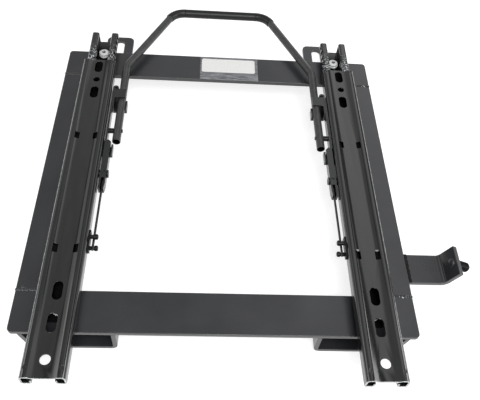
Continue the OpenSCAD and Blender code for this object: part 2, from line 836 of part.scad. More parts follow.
// Front bar of the loop with the bend at each end.
module loop_front(r) {
  straight = 2 * (rod_front_half - bend_b_l);
  translate([-straight / 2 - bend_lap, rod_front, 0])
    rotate([0, 90, 0])
      cylinder(h = straight + 2 * bend_lap, r = r);
  for (s = [0, 1])
    mirror([s, 0, 0])
      translate([-straight / 2, rod_front - rod_bend_r, 0])
        rotate([0, 0, 90])
          rod_bend(90 - rod_turn, r, rod_bend_r);
}

// The two legs of the loop, with the lower bends and the sloping parts.
module loop_legs(r) {
  for (s = [0, 1])
    mirror([s, 0, 0])
      translate([-rod_half, 0, 0]) {
        rod_y(rod_back + bend_lap, rod_corner - bend_a_l - rod_back - bend_lap, r);
        translate([rod_corner_r, rod_corner - bend_a_l, 0])
          rotate([0, 0, 180 - rod_turn])
            rod_bend(rod_turn, r, rod_corner_r);
        translate([0, rod_corner, 0])
          rotate([0, 0, -rod_turn])
            rod_y(bend_a_l, slope_l - bend_a_l - bend_b_l, r);
      }
}

// Loop handle bent from tube, with a cross hole and an open end in each leg.
module handle_rod() {
  color("#2c2d2f")
    translate([0, pivot_at, deck_h + latch_z])
      difference() {
        union() {
          loop_front(rod_d / 2);
          loop_legs(rod_d / 2);
        }
        for (s = [-1, 1]) {
          translate([s * rod_half, cross_pin_y, 0])
            pin_x(-rod_d, 2 * rod_d, cross_pin_d + 2 * cross_pin_gap);
          translate([s * rod_half, rod_back - cut, 0])
            rotate([-90, 0, 0])
              cylinder(h = rod_bore_l + cut, d = rod_d - 2 * rod_wall);
        }
      }
}

// Soft sleeve over the front of the loop and its two bends.
module handle_grip() {
  inner = rod_d / 2 + grip_gap;
  color("#1b1b1c")
    translate([0, pivot_at, deck_h + latch_z])
      difference() {
        loop_front(inner + grip_t);
        union() {
          loop_front(inner);
          loop_legs(inner);
        }
      }
}

// Round headed bolt with a washer and a hexagon socket, screwed through the rail into the bar.
module rail_bolt(y) {
  color("#c9cbcc")
    translate([-rail_x, y, deck_h + rail_t])
      difference() {
        union() {
          translate([0, 0, -rail_t - bar_t]) cylinder(h = rail_t + bar_t + cut, d = bolt_d);
          cylinder(h = bolt_washer_t, d = bolt_washer_d);
          translate([0, 0, bolt_washer_t])
            rotate_extrude()
              intersection() {
                square([bolt_head_d / 2, bolt_head_h]);
                translate([0, bolt_head_h - bolt_crown_r]) circle(bolt_crown_r);
              }
        }
        translate([0, 0, bolt_washer_t + bolt_head_h / 2])
          cylinder(h = bolt_head_h, d = bolt_socket / cos(30), $fn = 6);
      }
}

module left_front_bolt() {
  rail_bolt(front_rail_bolt_y);
}

module left_rear_bolt() {
  rail_bolt(0);
}

module right_front_bolt() {
  mirror([1, 0, 0]) left_front_bolt();
}

module right_rear_bolt() {
  mirror([1, 0, 0]) left_rear_bolt();
}

front_cross_bar();
rear_cross_bar();
left_side_bar();
right_side_bar();
rear_left_foot();
rear_right_foot();
front_left_foot();
front_right_foot();
buckle_arm();
buckle_stud();
left_lower_rail();
right_lower_rail();
left_front_bolt();
left_rear_bolt();
right_front_bolt();
right_rear_bolt();
left_upper_rail();
right_upper_rail();
left_pivot_pin();
right_pivot_pin();
left_spring_anchor();
right_spring_anchor();
left_spring_wire();
right_spring_wire();
left_outer_balls();
left_inner_balls();
right_outer_balls();
right_inner_balls();
handle_rod();
handle_grip();
left_lever();
right_lever();
left_clip();
right_clip();
left_cross_pin();
right_cross_pin();
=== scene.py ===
import math

import bpy
from mathutils import Matrix, Vector


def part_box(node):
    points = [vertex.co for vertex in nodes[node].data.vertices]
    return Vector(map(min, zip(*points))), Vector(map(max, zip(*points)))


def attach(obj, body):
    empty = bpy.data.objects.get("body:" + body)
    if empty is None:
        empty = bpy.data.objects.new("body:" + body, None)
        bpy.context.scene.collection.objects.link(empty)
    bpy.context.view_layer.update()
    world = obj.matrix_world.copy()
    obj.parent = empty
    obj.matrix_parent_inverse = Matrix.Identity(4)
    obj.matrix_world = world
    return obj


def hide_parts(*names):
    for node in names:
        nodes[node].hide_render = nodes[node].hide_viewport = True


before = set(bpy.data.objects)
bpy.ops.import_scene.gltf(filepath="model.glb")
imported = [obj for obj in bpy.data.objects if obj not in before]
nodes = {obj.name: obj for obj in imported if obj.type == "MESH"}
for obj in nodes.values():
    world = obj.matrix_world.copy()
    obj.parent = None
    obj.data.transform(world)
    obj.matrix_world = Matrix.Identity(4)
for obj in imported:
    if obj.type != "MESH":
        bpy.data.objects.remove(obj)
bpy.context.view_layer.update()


# The base frame: four flat bars of hot-rolled mild steel, 50 x 6 mm, sawn to length,
# rounded at the outer corners and butt-welded into a rectangle, then powder coated.
# Rolled bar has no sharp edges, so every edge is eased by most of a millimetre.
MM = 0.001
bar_edge = 0.7 * MM


def srgb(code):
    channels = [int(code[i:i + 2], 16) / 255 for i in (1, 3, 5)]
    linear = [c / 12.92 if c <= 0.04045 else ((c + 0.055) / 1.055) ** 2.4 for c in channels]
    return (*linear, 1.0)


def new_material(name):
    material = bpy.data.materials.new(name)
    material.use_nodes = True
    material.node_tree.nodes.clear()
    return material


def add_node(material, kind, inputs=None, stops=(), **settings):
    node = material.node_tree.nodes.new(kind)
    for name, value in settings.items():
        setattr(node, name, value)
    for socket, value in (inputs or {}).items():
        if isinstance(value, bpy.types.NodeSocket):
            material.node_tree.links.new(value, node.inputs[socket])
        else:
            node.inputs[socket].default_value = value
    for index, (at, code) in enumerate(stops):
        node.color_ramp.elements[index].position = at
        node.color_ramp.elements[index].color = srgb(code)
    return node


def coat(piece, material):
    piece.data.materials.clear()
    piece.data.materials.append(material)
    for face in piece.data.polygons:
        face.material_index = 0


def start_edit(piece):
    bpy.ops.object.select_all(action="DESELECT")
    bpy.context.view_layer.objects.active = piece
    piece.select_set(True)
    bpy.ops.object.mode_set(mode="EDIT")
    bpy.ops.mesh.select_all(action="SELECT")


def ease_edges(name, radius, body):
    piece = nodes[name].copy()
    piece.data = nodes[name].data.copy()
    piece.name = name + "_eased"
    for tag in list(piece.keys()):
        del piece[tag]
    piece.parent = None
    bpy.context.scene.collection.objects.link(piece)
    start_edit(piece)
    bpy.ops.mesh.customdata_custom_splitnormals_clear()
    bpy.ops.mesh.remove_doubles(threshold=0.001 * MM)
    bpy.ops.mesh.dissolve_limited(angle_limit=math.radians(0.5))
    bpy.ops.object.mode_set(mode="OBJECT")
    rounding = piece.modifiers.new("eased_edges", "BEVEL")
    rounding.width = radius
    rounding.segments = 2
    rounding.limit_method = "ANGLE"
    rounding.angle_limit = math.radians(40)
    rounding.use_clamp_overlap = False
    rounding.loop_slide = False
    bpy.ops.object.modifier_apply(modifier=rounding.name)
    bpy.ops.object.shade_smooth_by_angle(angle=math.radians(45))
    flat = piece.modifiers.new("flat_faces", "WEIGHTED_NORMAL")
    flat.keep_sharp = True
    bpy.ops.object.modifier_apply(modifier=flat.name)
    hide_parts(name)
    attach(piece, body)
    return piece


# Powder coat: a satin plastic skin, dark and even, with a faint orange peel that
# blurs reflections. The peel is about 0.6 mm across and is drawn at 1.6 mm, to show.
powder_coat = new_material("powder_coat_satin_black")
place = add_node(powder_coat, "ShaderNodeTexCoord").outputs["Object"]
peel = add_node(powder_coat, "ShaderNodeTexNoise", {
    "Vector": place, "Scale": 1 / (1.6 * MM), "Detail": 2.0})
drift = add_node(powder_coat, "ShaderNodeTexNoise", {
    "Vector": place, "Scale": 1 / (60 * MM), "Detail": 3.0})
blotch = add_node(powder_coat, "ShaderNodeMix", {
    "Factor": 0.14, "A": drift.outputs["Fac"], "B": peel.outputs["Fac"]})
tone = add_node(powder_coat, "ShaderNodeValToRGB", {"Fac": blotch.outputs["Result"]},
                stops=((0.32, "#232427"), (0.68, "#313235")))
gloss = add_node(powder_coat, "ShaderNodeMapRange", {
    "Value": blotch.outputs["Result"], "To Min": 0.24, "To Max": 0.34})
skin = add_node(powder_coat, "ShaderNodeBump", {
    "Height": peel.outputs["Fac"], "Strength": 0.04, "Distance": 0.3 * MM})
shader = add_node(powder_coat, "ShaderNodeBsdfPrincipled", {
    "Base Color": tone.outputs["Color"], "Roughness": gloss.outputs["Result"],
    "Normal": skin.outputs["Normal"], "IOR": 1.5, "Specular IOR Level": 0.8})
add_node(powder_coat, "ShaderNodeOutputMaterial", {"Surface": shader.outputs["BSDF"]})

for bar in ("front_cross_bar", "rear_cross_bar", "left_side_bar", "right_side_bar"):
    coat(ease_edges(bar, bar_edge, "base"), powder_coat)


# The butt welds that join the side bars to the cross bars: short beads of weld
# metal, ground down before painting until only a low ripple stays proud. Beads
# under the bars are left as they were laid.
side_low, side_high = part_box("right_side_bar")
bar_top = side_high.z
bar_underside = side_low.z
bead_z = bar_top - 0.1 * MM


def weld_bead(name, start, end, half_width, height, pitch, finish=powder_coat):
    line = Vector(end) - Vector(start)
    ripples = max(2, round(line.length / pitch))
    lengthwise = 0 if abs(line.x) > abs(line.y) else 1
    bpy.ops.object.select_all(action="DESELECT")
    for i in range(ripples + 1):
        # No two ripples swell alike, because the torch is led by hand.
        swell = 1 + 0.16 * math.sin(2.3 * i) + 0.10 * math.sin(5.1 * i + 1)
        size = [half_width * swell, half_width * swell, height * swell]
        size[lengthwise] = pitch * 0.95
        bpy.ops.mesh.primitive_uv_sphere_add(
            segments=12, ring_count=8, radius=1.0, scale=size,
            location=Vector(start) + line * (i / ripples))
        if i == 0:
            bead = bpy.context.object
            bead.name = name
            bpy.ops.object.transform_apply(location=True, rotation=True, scale=True)
            bpy.ops.object.mode_set(mode="EDIT")
    bpy.ops.object.mode_set(mode="OBJECT")
    bead.data.remesh_voxel_size = 0.3 * MM
    bpy.ops.object.voxel_remesh()
    bpy.ops.object.shade_smooth()
    coat(bead, finish)
    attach(bead, "base")


# Chipped powder coat: on the right-hand welds the powder has flaked off, most of all
# near the bar's edge, and the ground weld metal glints there beside dark soot.
chipped_coat = new_material("chipped_powder_coat")
place = add_node(chipped_coat, "ShaderNodeTexCoord").outputs["Object"]
grit = add_node(chipped_coat, "ShaderNodeTexNoise", {
    "Vector": place, "Scale": 1 / (2.2 * MM), "Detail": 3.0})
tone = add_node(chipped_coat, "ShaderNodeValToRGB", {"Fac": grit.outputs["Fac"]},
                stops=((0.42, "#0c0c0d"), (0.60, "#3c3d40")))
painted = add_node(chipped_coat, "ShaderNodeBsdfPrincipled", {
    "Base Color": tone.outputs["Color"], "Roughness": 0.34, "IOR": 1.5})
axes = add_node(chipped_coat, "ShaderNodeSeparateXYZ", {"Vector": place})
near_edge = add_node(chipped_coat, "ShaderNodeMapRange", {
    "Value": axes.outputs["X"], "From Min": side_high.x - 18 * MM,
    "From Max": side_high.x - 3 * MM, "To Min": 0.0, "To Max": 0.12})
flaky = add_node(chipped_coat, "ShaderNodeMath", {
    0: grit.outputs["Fac"], 1: near_edge.outputs["Result"]}, operation="ADD")
flaked = add_node(chipped_coat, "ShaderNodeMapRange", {
    "Value": flaky.outputs[0], "From Min": 0.64, "From Max": 0.68})
bare_weld = add_node(chipped_coat, "ShaderNodeBsdfPrincipled", {
    "Base Color": srgb("#b2b4b5"), "Metallic": 0.4, "Roughness": 0.4})
mixed = add_node(chipped_coat, "ShaderNodeMixShader", {
    0: flaked.outputs["Result"], 1: painted.outputs["BSDF"], 2: bare_weld.outputs["BSDF"]})
add_node(chipped_coat, "ShaderNodeOutputMaterial", {"Surface": mixed.outputs[0]})

top_from = side_low.x + 13 * MM
top_to = side_high.x - 1 * MM
under_from = side_low.x + 4 * MM
under_to = side_high.x - 2 * MM
for side, sign, finish, crest in (("left", -1, powder_coat, 0.9 * MM),
                                  ("right", 1, chipped_coat, 0.6 * MM)):
    for end, y in (("front", side_high.y), ("rear", side_low.y)):
        weld_bead(f"{side}_{end}_butt_weld", (sign * top_from, y, bead_z), (sign * top_to, y, bead_z),
                  half_width=2.2 * MM, height=crest, pitch=1.7 * MM, finish=finish)
        weld_bead(f"{side}_{end}_under_weld", (sign * under_from, y, bar_underside),
                  (sign * under_to, y, bar_underside),
                  half_width=2.6 * MM, height=1.1 * MM, pitch=2.2 * MM)
# The left rear weld was started twice, which left a short second bead beside it.
start_y = side_low.y + 3 * MM
weld_bead("left_rear_weld_start", (-side_high.x + 7 * MM, start_y, bead_z),
          (-side_high.x + 10 * MM, start_y, bead_z),
          half_width=2.3 * MM, height=1.0 * MM, pitch=1.5 * MM)


# The feet: 5 mm strap bent in a press and welded under the cross bars, a U with a
# leaning outer wall at each rear corner and a step with a slotted toe at each front one.
foot_edge = 0.6 * MM
for foot in ("rear_left_foot", "rear_right_foot", "front_left_foot", "front_right_foot"):
    coat(ease_edges(foot, foot_edge, "base"), powder_coat)

toe_low, toe_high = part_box("front_right_foot")
toe_weld_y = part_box("front_cross_bar")[1].y - 1.6 * MM
toe_weld_z = bar_underside - 0.6 * MM
heel_weld_x = (("inner", 110.0 * MM), ("outer", 214.8 * MM))
heel_weld_y = 20 * MM
heel_weld_z = bar_underside - 0.4 * MM
for side, sign in (("left", -1), ("right", 1)):
    for wall, x in heel_weld_x:
        weld_bead(f"{side}_rear_{wall}_foot_weld", (sign * x, -heel_weld_y, heel_weld_z),
                  (sign * x, heel_weld_y, heel_weld_z),
                  half_width=2.2 * MM, height=1.8 * MM, pitch=2.2 * MM)
    weld_bead(f"{side}_front_foot_weld", (sign * (toe_low.x + 2 * MM), toe_weld_y, toe_weld_z),
              (sign * (toe_high.x - 2 * MM), toe_weld_y, toe_weld_z),
              half_width=1.8 * MM, height=1.8 * MM, pitch=2.2 * MM)


# The buckle arm: a short flat strap welded to the right side bar and turned up at
# its end into a plate that carries the stud for the belt buckle.
arm_edge = 0.6 * MM
coat(ease_edges("buckle_arm", arm_edge, "base"), powder_coat)

# The bead at the arm's root is coloured near black, dry and rough: painted shade for
# the dark step where the arm sits below the bar.
arm_root_shade = new_material("weld_bead_painted_shade")
place = add_node(arm_root_shade, "ShaderNodeTexCoord").outputs["Object"]
shade_mottle = add_node(arm_root_shade, "ShaderNodeTexNoise", {
    "Vector": place, "Scale": 1 / (1.5 * MM), "Detail": 4.0})
tone = add_node(arm_root_shade, "ShaderNodeValToRGB", {"Fac": shade_mottle.outputs["Fac"]},
                stops=((0.4, "#0b0b0c"), (0.75, "#1c1c1e")))
shader = add_node(arm_root_shade, "ShaderNodeBsdfPrincipled", {
    "Base Color": tone.outputs["Color"], "Roughness": 0.7, "IOR": 1.5, "Specular IOR Level": 0.2})
add_node(arm_root_shade, "ShaderNodeOutputMaterial", {"Surface": shader.outputs["BSDF"]})

arm_low, arm_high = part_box("buckle_arm")
arm_top = bar_top - 2 * MM
arm_weld_x = arm_low.x + 2 * MM
weld_bead("arm_root_weld", (arm_weld_x, arm_low.y + 1.5 * MM, arm_top),
          (arm_weld_x, arm_high.y - 1.5 * MM, arm_top),
          half_width=2.5 * MM, height=0.8 * MM, pitch=2.3 * MM, finish=arm_root_shade)


# The buckle stud: a 12 mm set screw of blackened steel, welded into the arm's plate
# from behind. Its coarse thread is made as rings, and its point is chamfered.
stud_root = Vector((279.4 * MM, 64 * MM, 52.7 * MM))
stud_tilt = math.radians(25)
stud_axis = Vector((math.cos(stud_tilt), 0.0, -math.sin(stud_tilt)))
stud_turn = stud_axis.to_track_quat("Z", "Y").to_matrix().to_4x4()
stud_r = 5.9 * MM
thread_depth = 0.75 * MM
thread_pitch = 1.5 * MM
threads = 12
point_l = 1.9 * MM
point_taper = 0.82
bpy.ops.object.select_all(action="DESELECT")
bpy.ops.mesh.primitive_circle_add(vertices=40, radius=stud_r - thread_depth, fill_type="NGON")
stud = bpy.context.object
stud.name = "threaded_buckle_stud"
start_edit(stud)
crest_growth = stud_r / (stud_r - thread_depth)
for turn in range(threads):
    for factor in (crest_growth, 1 / crest_growth):
        bpy.ops.mesh.extrude_region_move(TRANSFORM_OT_translate={"value": (0, 0, thread_pitch / 2)})
        bpy.ops.transform.resize(value=(factor, factor, 1.0))
bpy.ops.mesh.extrude_region_move(TRANSFORM_OT_translate={"value": (0, 0, point_l)})
bpy.ops.transform.resize(value=(point_taper, point_taper, 1.0))
bpy.ops.mesh.select_all(action="SELECT")
bpy.ops.mesh.normals_make_consistent(inside=False)
bpy.ops.object.mode_set(mode="OBJECT")
stud.matrix_world = Matrix.Translation(stud_root) @ stud_turn
bpy.ops.object.transform_apply(location=True, rotation=True, scale=True)
bpy.ops.object.shade_smooth_by_angle(angle=math.radians(25))

# Black oxide: a thin blue-black skin on steel, dry, with little shine and a faint bloom.
black_oxide = new_material("black_oxide_steel")
place = add_node(black_oxide, "ShaderNodeTexCoord").outputs["Object"]
bloom = add_node(black_oxide, "ShaderNodeTexNoise", {
    "Vector": place, "Scale": 1 / (2.5 * MM), "Detail": 4.0})
tone = add_node(black_oxide, "ShaderNodeValToRGB", {"Fac": bloom.outputs["Fac"]},
                stops=((0.35, "#0b0c0d"), (0.7, "#17181a")))
gloss = add_node(black_oxide, "ShaderNodeMapRange", {
    "Value": bloom.outputs["Fac"], "To Min": 0.26, "To Max": 0.42})
shader = add_node(black_oxide, "ShaderNodeBsdfPrincipled", {
    "Base Color": tone.outputs["Color"], "Roughness": gloss.outputs["Result"],
    "IOR": 1.6, "Specular IOR Level": 0.2})
add_node(black_oxide, "ShaderNodeOutputMaterial", {"Surface": shader.outputs["BSDF"]})
coat(stud, black_oxide)
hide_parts("buckle_stud")
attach(stud, "base")


# The plug weld that holds the stud: weld metal laid from the plate's inner face,
# where it stands as a low dome under the powder coat.
plug_r = 5.2 * MM
plug_flatness = 0.22
plug_depth = 5.9 * MM
bpy.ops.object.select_all(action="DESELECT")
bpy.ops.mesh.primitive_uv_sphere_add(segments=32, ring_count=16, radius=plug_r)
plug = bpy.context.object
plug.name = "stud_plug_weld"
start_edit(plug)
bpy.ops.transform.resize(value=(1.0, 1.0, plug_flatness))
bpy.ops.object.mode_set(mode="OBJECT")
plug.matrix_world = Matrix.Translation(stud_root - stud_axis * plug_depth) @ stud_turn
bpy.ops.object.transform_apply(location=True, rotation=True, scale=True)
bpy.ops.object.shade_smooth()
coat(plug, powder_coat)
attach(plug, "base")


# The lower rails: 2 mm strip rolled to a wide channel with hanging lips, notched
# along the inner lip for the latch, dipped in electro coat and bolted to the bars.
lower_edge = 0.12 * MM
lower_low, lower_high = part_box("right_lower_rail")
upper_low, upper_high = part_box("right_upper_rail")
rail_x = (lower_low.x + lower_high.x) / 2
lip_z = 50 * MM


# Electro coat: a thin, hard, glossy black film. It follows the rolled strip closely,
# so the rails show soft bands lengthwise and sharp reflections at their bends.
def electro_coat(name, rear_y, front_y, bare_from_z):
    material = new_material(name)
    place = add_node(material, "ShaderNodeTexCoord").outputs["Object"]
    axes = add_node(material, "ShaderNodeSeparateXYZ", {"Vector": place})
    # Rolling leaves bands along the strip, about 6 mm wide and 40 mm long.
    along = add_node(material, "ShaderNodeMapping", {
        "Vector": place, "Scale": (1 / (6 * MM), 1 / (40 * MM), 1 / (6 * MM))})
    streak = add_node(material, "ShaderNodeTexNoise", {
        "Vector": along.outputs["Vector"], "Scale": 1.0, "Detail": 4.0, "Roughness": 0.55})
    tone = add_node(material, "ShaderNodeValToRGB", {"Fac": streak.outputs["Fac"]},
                    stops=((0.34, "#0d0f0e"), (0.68, "#191c1a")))
    gloss = add_node(material, "ShaderNodeMapRange", {
        "Value": streak.outputs["Fac"], "To Min": 0.09, "To Max": 0.22})
    paint = add_node(material, "ShaderNodeBsdfPrincipled", {
        "Base Color": tone.outputs["Color"], "Roughness": gloss.outputs["Result"],
        "IOR": 1.5, "Specular IOR Level": 0.9}, name="paint")
    # The sheared ends hold little paint, and bright steel with burrs shows there.
    burr_depth = 0.35 * MM
    past_front = add_node(material, "ShaderNodeMath", {
        0: axes.outputs["Y"], 1: front_y - burr_depth}, operation="GREATER_THAN")
    past_rear = add_node(material, "ShaderNodeMath", {
        0: axes.outputs["Y"], 1: rear_y + burr_depth}, operation="LESS_THAN")
    at_end = add_node(material, "ShaderNodeMath", {
        0: past_front.outputs[0], 1: past_rear.outputs[0]}, operation="MAXIMUM")
    high = add_node(material, "ShaderNodeMath", {
        0: axes.outputs["Z"], 1: bare_from_z}, operation="GREATER_THAN")
    sheared = add_node(material, "ShaderNodeMath", {
        0: at_end.outputs[0], 1: high.outputs[0]}, operation="MULTIPLY")
    burr = add_node(material, "ShaderNodeTexNoise", {
        "Vector": place, "Scale": 1 / (1.2 * MM), "Detail": 3.0})
    steel_tone = add_node(material, "ShaderNodeValToRGB", {"Fac": burr.outputs["Fac"]},
                          stops=((0.3, "#6e7072"), (0.62, "#d5d7d8")))
    steel = add_node(material, "ShaderNodeBsdfPrincipled", {
        "Base Color": steel_tone.outputs["Color"], "Metallic": 1.0, "Roughness": 0.38})
    mixed = add_node(material, "ShaderNodeMixShader", {
        0: sheared.outputs[0], 1: paint.outputs["BSDF"], 2: steel.outputs["BSDF"]}, name="paint_or_steel")
    add_node(material, "ShaderNodeOutputMaterial", {"Surface": mixed.outputs[0]}, name="surface")
    return material


lower_coat = electro_coat("electro_coat_lower_rail", lower_low.y, lower_high.y, lip_z)

# Grease from the ball tracks is pushed out along the lips where the upper rail stops.
# Pale specks of a millimetre or two are painted on it: dust, and painted glints of
# the wet grease.
paint = lower_coat.node_tree.nodes["paint"]
clean_tone = paint.inputs["Base Color"].links[0].from_socket
place = add_node(lower_coat, "ShaderNodeTexCoord").outputs["Object"]
axes = add_node(lower_coat, "ShaderNodeSeparateXYZ", {"Vector": place})
near_stop = add_node(lower_coat, "ShaderNodeMapRange", {
    "Value": axes.outputs["Y"], "From Min": upper_high.y + 43 * MM,
    "From Max": upper_high.y + 9 * MM, "To Min": 0.0, "To Max": 0.95})
high = add_node(lower_coat, "ShaderNodeMath", {0: axes.outputs["Z"], 1: lip_z}, operation="GREATER_THAN")
open_air = add_node(lower_coat, "ShaderNodeMath", {
    0: axes.outputs["Y"], 1: upper_high.y - 1 * MM}, operation="GREATER_THAN")
on_lip = add_node(lower_coat, "ShaderNodeMath", {
    0: high.outputs[0], 1: open_air.outputs[0]}, operation="MULTIPLY")
specks = add_node(lower_coat, "ShaderNodeTexNoise", {
    "Vector": place, "Scale": 1 / (2.2 * MM), "Detail": 2.0})
sharp = add_node(lower_coat, "ShaderNodeMapRange", {
    "Value": specks.outputs["Fac"], "From Min": 0.56, "From Max": 0.60})
greasy = add_node(lower_coat, "ShaderNodeMath", {
    0: near_stop.outputs["Result"], 1: on_lip.outputs[0]}, operation="MULTIPLY")
dust_and_glint_specks = add_node(lower_coat, "ShaderNodeMath", {
    0: greasy.outputs[0], 1: sharp.outputs["Result"]}, operation="MULTIPLY")
dust_and_glint_tone = add_node(lower_coat, "ShaderNodeMix", {
    0: dust_and_glint_specks.outputs[0], 6: clean_tone, 7: srgb("#dfe2e8")}, data_type="RGBA")
lower_coat.node_tree.links.new(dust_and_glint_tone.outputs[2], paint.inputs["Base Color"])

# Old grease and painted shade: the rail's floor and all that the upper rail covers are
# painted black and dull, as the channel lies in shade. Towards the front end, which is
# open, the painted shade mostly fades.
tone = add_node(lower_coat, "ShaderNodeValToRGB", {"Fac": specks.outputs["Fac"]},
                stops=((0.4, "#060606"), (0.7, "#111110")))
grease_and_shade = add_node(lower_coat, "ShaderNodeBsdfPrincipled", {
    "Base Color": tone.outputs["Color"], "Roughness": 0.75, "IOR": 1.5, "Specular IOR Level": 0.1})
near_front = add_node(lower_coat, "ShaderNodeMapRange", {
    "Value": axes.outputs["Y"], "From Min": lower_high.y - 22 * MM,
    "From Max": lower_high.y - 6 * MM, "To Max": 0.8})
lit_share = add_node(lower_coat, "ShaderNodeMath", {
    0: on_lip.outputs[0], 1: near_front.outputs["Result"]}, operation="MAXIMUM")
clean_coat = lower_coat.node_tree.nodes["paint_or_steel"]
covered = add_node(lower_coat, "ShaderNodeMixShader", {
    0: lit_share.outputs[0], 1: grease_and_shade.outputs["BSDF"], 2: clean_coat.outputs[0]})
surface = lower_coat.node_tree.nodes["surface"]
lower_coat.node_tree.links.new(covered.outputs[0], surface.inputs["Surface"])

for side in ("left", "right"):
    coat(ease_edges(side + "_lower_rail", lower_edge, "base"), lower_coat)


# The rail bolts: button-head screws of steel with washers, zinc plated, that clamp
# each lower rail down on the cross bars, one at its front and one at its rear.
bolt_half_span = 208 * MM
socket_r = 2.4 * MM
socket_rim = 0.5 * MM

# Bright zinc: a silvery white plate, finely frosted, the palest metal on the base.
zinc_plate = new_material("bright_zinc_plate")
place = add_node(zinc_plate, "ShaderNodeTexCoord").outputs["Object"]
frost = add_node(zinc_plate, "ShaderNodeTexNoise", {
    "Vector": place, "Scale": 1 / (0.9 * MM), "Detail": 3.0})
tone = add_node(zinc_plate, "ShaderNodeValToRGB", {"Fac": frost.outputs["Fac"]},
                stops=((0.3, "#f0f1f1"), (0.7, "#fcfcfc")))
# The hexagon sockets are painted dark grey: painted shade in the recesses. Space is
# folded about the middle of the base, in X and in Y, so that all four bolts share one
# axis to measure from.
folded = add_node(zinc_plate, "ShaderNodeVectorMath", {
    0: place, 1: (0.0, bolt_half_span, 0.0)}, operation="SUBTRACT")
folded = add_node(zinc_plate, "ShaderNodeVectorMath", {0: folded.outputs[0]}, operation="ABSOLUTE")
folded = add_node(zinc_plate, "ShaderNodeVectorMath", {
    0: folded.outputs[0], 1: (rail_x, bolt_half_span, 0.0)}, operation="SUBTRACT")
folded = add_node(zinc_plate, "ShaderNodeVectorMath", {
    0: folded.outputs[0], 1: (1.0, 1.0, 0.0)}, operation="MULTIPLY")
from_axis = add_node(zinc_plate, "ShaderNodeVectorMath", {0: folded.outputs[0]}, operation="LENGTH")
socket_shade = add_node(zinc_plate, "ShaderNodeMapRange", {
    "Value": from_axis.outputs["Value"], "From Min": socket_r + socket_rim, "From Max": socket_r})
plated = add_node(zinc_plate, "ShaderNodeMix", {
    0: socket_shade.outputs["Result"], 6: tone.outputs["Color"], 7: srgb("#4a4a48")}, data_type="RGBA")
gloss = add_node(zinc_plate, "ShaderNodeMapRange", {
    "Value": frost.outputs["Fac"], "To Min": 0.30, "To Max": 0.42})
shader = add_node(zinc_plate, "ShaderNodeBsdfPrincipled", {
    "Base Color": plated.outputs[2], "Metallic": 0.1, "Roughness": gloss.outputs["Result"]})
add_node(zinc_plate, "ShaderNodeOutputMaterial", {"Surface": shader.outputs["BSDF"]})

for side in ("left", "right"):
    for end in ("front", "rear"):
        coat(nodes[f"{side}_{end}_bolt"], zinc_plate)


# The ball strips: hardened steel balls held in thin steel strips, which lie loose
# between the rails' lips and roll along them at half the travel.

# Bearing steel: a mirror polish under a brown film of grease, so it gleams darkly.
bearing_steel = new_material("polished_bearing_steel")
place = add_node(bearing_steel, "ShaderNodeTexCoord").outputs["Object"]
smear = add_node(bearing_steel, "ShaderNodeTexNoise", {
    "Vector": place, "Scale": 1 / (3 * MM), "Detail": 3.0})
tone = add_node(bearing_steel, "ShaderNodeValToRGB", {"Fac": smear.outputs["Fac"]},
                stops=((0.35, "#3b3934"), (0.65, "#77756f")))
gloss = add_node(bearing_steel, "ShaderNodeMapRange", {
    "Value": smear.outputs["Fac"], "To Min": 0.12, "To Max": 0.3})
shader = add_node(bearing_steel, "ShaderNodeBsdfPrincipled", {
    "Base Color": tone.outputs["Color"], "Metallic": 1.0, "Roughness": gloss.outputs["Result"]})
add_node(bearing_steel, "ShaderNodeOutputMaterial", {"Surface": shader.outputs["BSDF"]})

for side in ("left", "right"):
    for track in ("outer", "inner"):
        coat(nodes[f"{side}_{track}_balls"], bearing_steel)


# The upper rails: the same strip, rolled to close round the lower rails, with a
# sunk middle, slots for the seat bolts, lanced windows and punched stop dents.
upper_edge = 0.25 * MM
upper_coat = electro_coat("electro_coat_upper_rail", upper_low.y, upper_high.y, 0.0)

# On the right rail the front edges of the rear windows are painted as bare, bright
# steel, which gives painted glints there.
window_x = 11.2 * MM
window_front_y = 72.2 * MM
place = add_node(upper_coat, "ShaderNodeTexCoord").outputs["Object"]
axes = add_node(upper_coat, "ShaderNodeSeparateXYZ", {"Vector": place})
aside = add_node(upper_coat, "ShaderNodeMath", {0: axes.outputs["X"], 1: rail_x}, operation="SUBTRACT")
aside = add_node(upper_coat, "ShaderNodeMath", {0: aside.outputs[0]}, operation="ABSOLUTE")
at_window = add_node(upper_coat, "ShaderNodeMath", {
    0: aside.outputs[0], 1: window_x, 2: 1.5 * MM}, operation="COMPARE")
at_front = add_node(upper_coat, "ShaderNodeMath", {
    0: axes.outputs["Y"], 1: window_front_y, 2: 1.2 * MM}, operation="COMPARE")
window_glint = add_node(upper_coat, "ShaderNodeMath", {
    0: at_window.outputs[0], 1: at_front.outputs[0]}, operation="MULTIPLY")

# Along the outer shoulders, a little below the rails' tops, the paint is rubbed thin in
# patches of about 6 mm, and bare steel shows in a broken line: wear, and a painted
# highlight along the shoulder's bend.
shoulder_x = rail_x + 17.5 * MM
shoulder_z = upper_high.z - 2.2 * MM
outward = add_node(upper_coat, "ShaderNodeMath", {0: axes.outputs["X"]}, operation="ABSOLUTE")
outer = add_node(upper_coat, "ShaderNodeMath", {
    0: outward.outputs[0], 1: shoulder_x}, operation="GREATER_THAN")
on_bend = add_node(upper_coat, "ShaderNodeMath", {
    0: axes.outputs["Z"], 1: shoulder_z, 2: 0.9 * MM}, operation="COMPARE")
patch = add_node(upper_coat, "ShaderNodeTexNoise", {
    "Vector": place, "Scale": 1 / (6 * MM), "Detail": 3.0})
thin = add_node(upper_coat, "ShaderNodeMapRange", {
    "Value": patch.outputs["Fac"], "From Min": 0.38, "From Max": 0.62, "To Min": 0.1, "To Max": 0.6})
shoulder_wear_and_highlight = add_node(upper_coat, "ShaderNodeMath", {
    0: outer.outputs[0], 1: on_bend.outputs[0]}, operation="MULTIPLY")
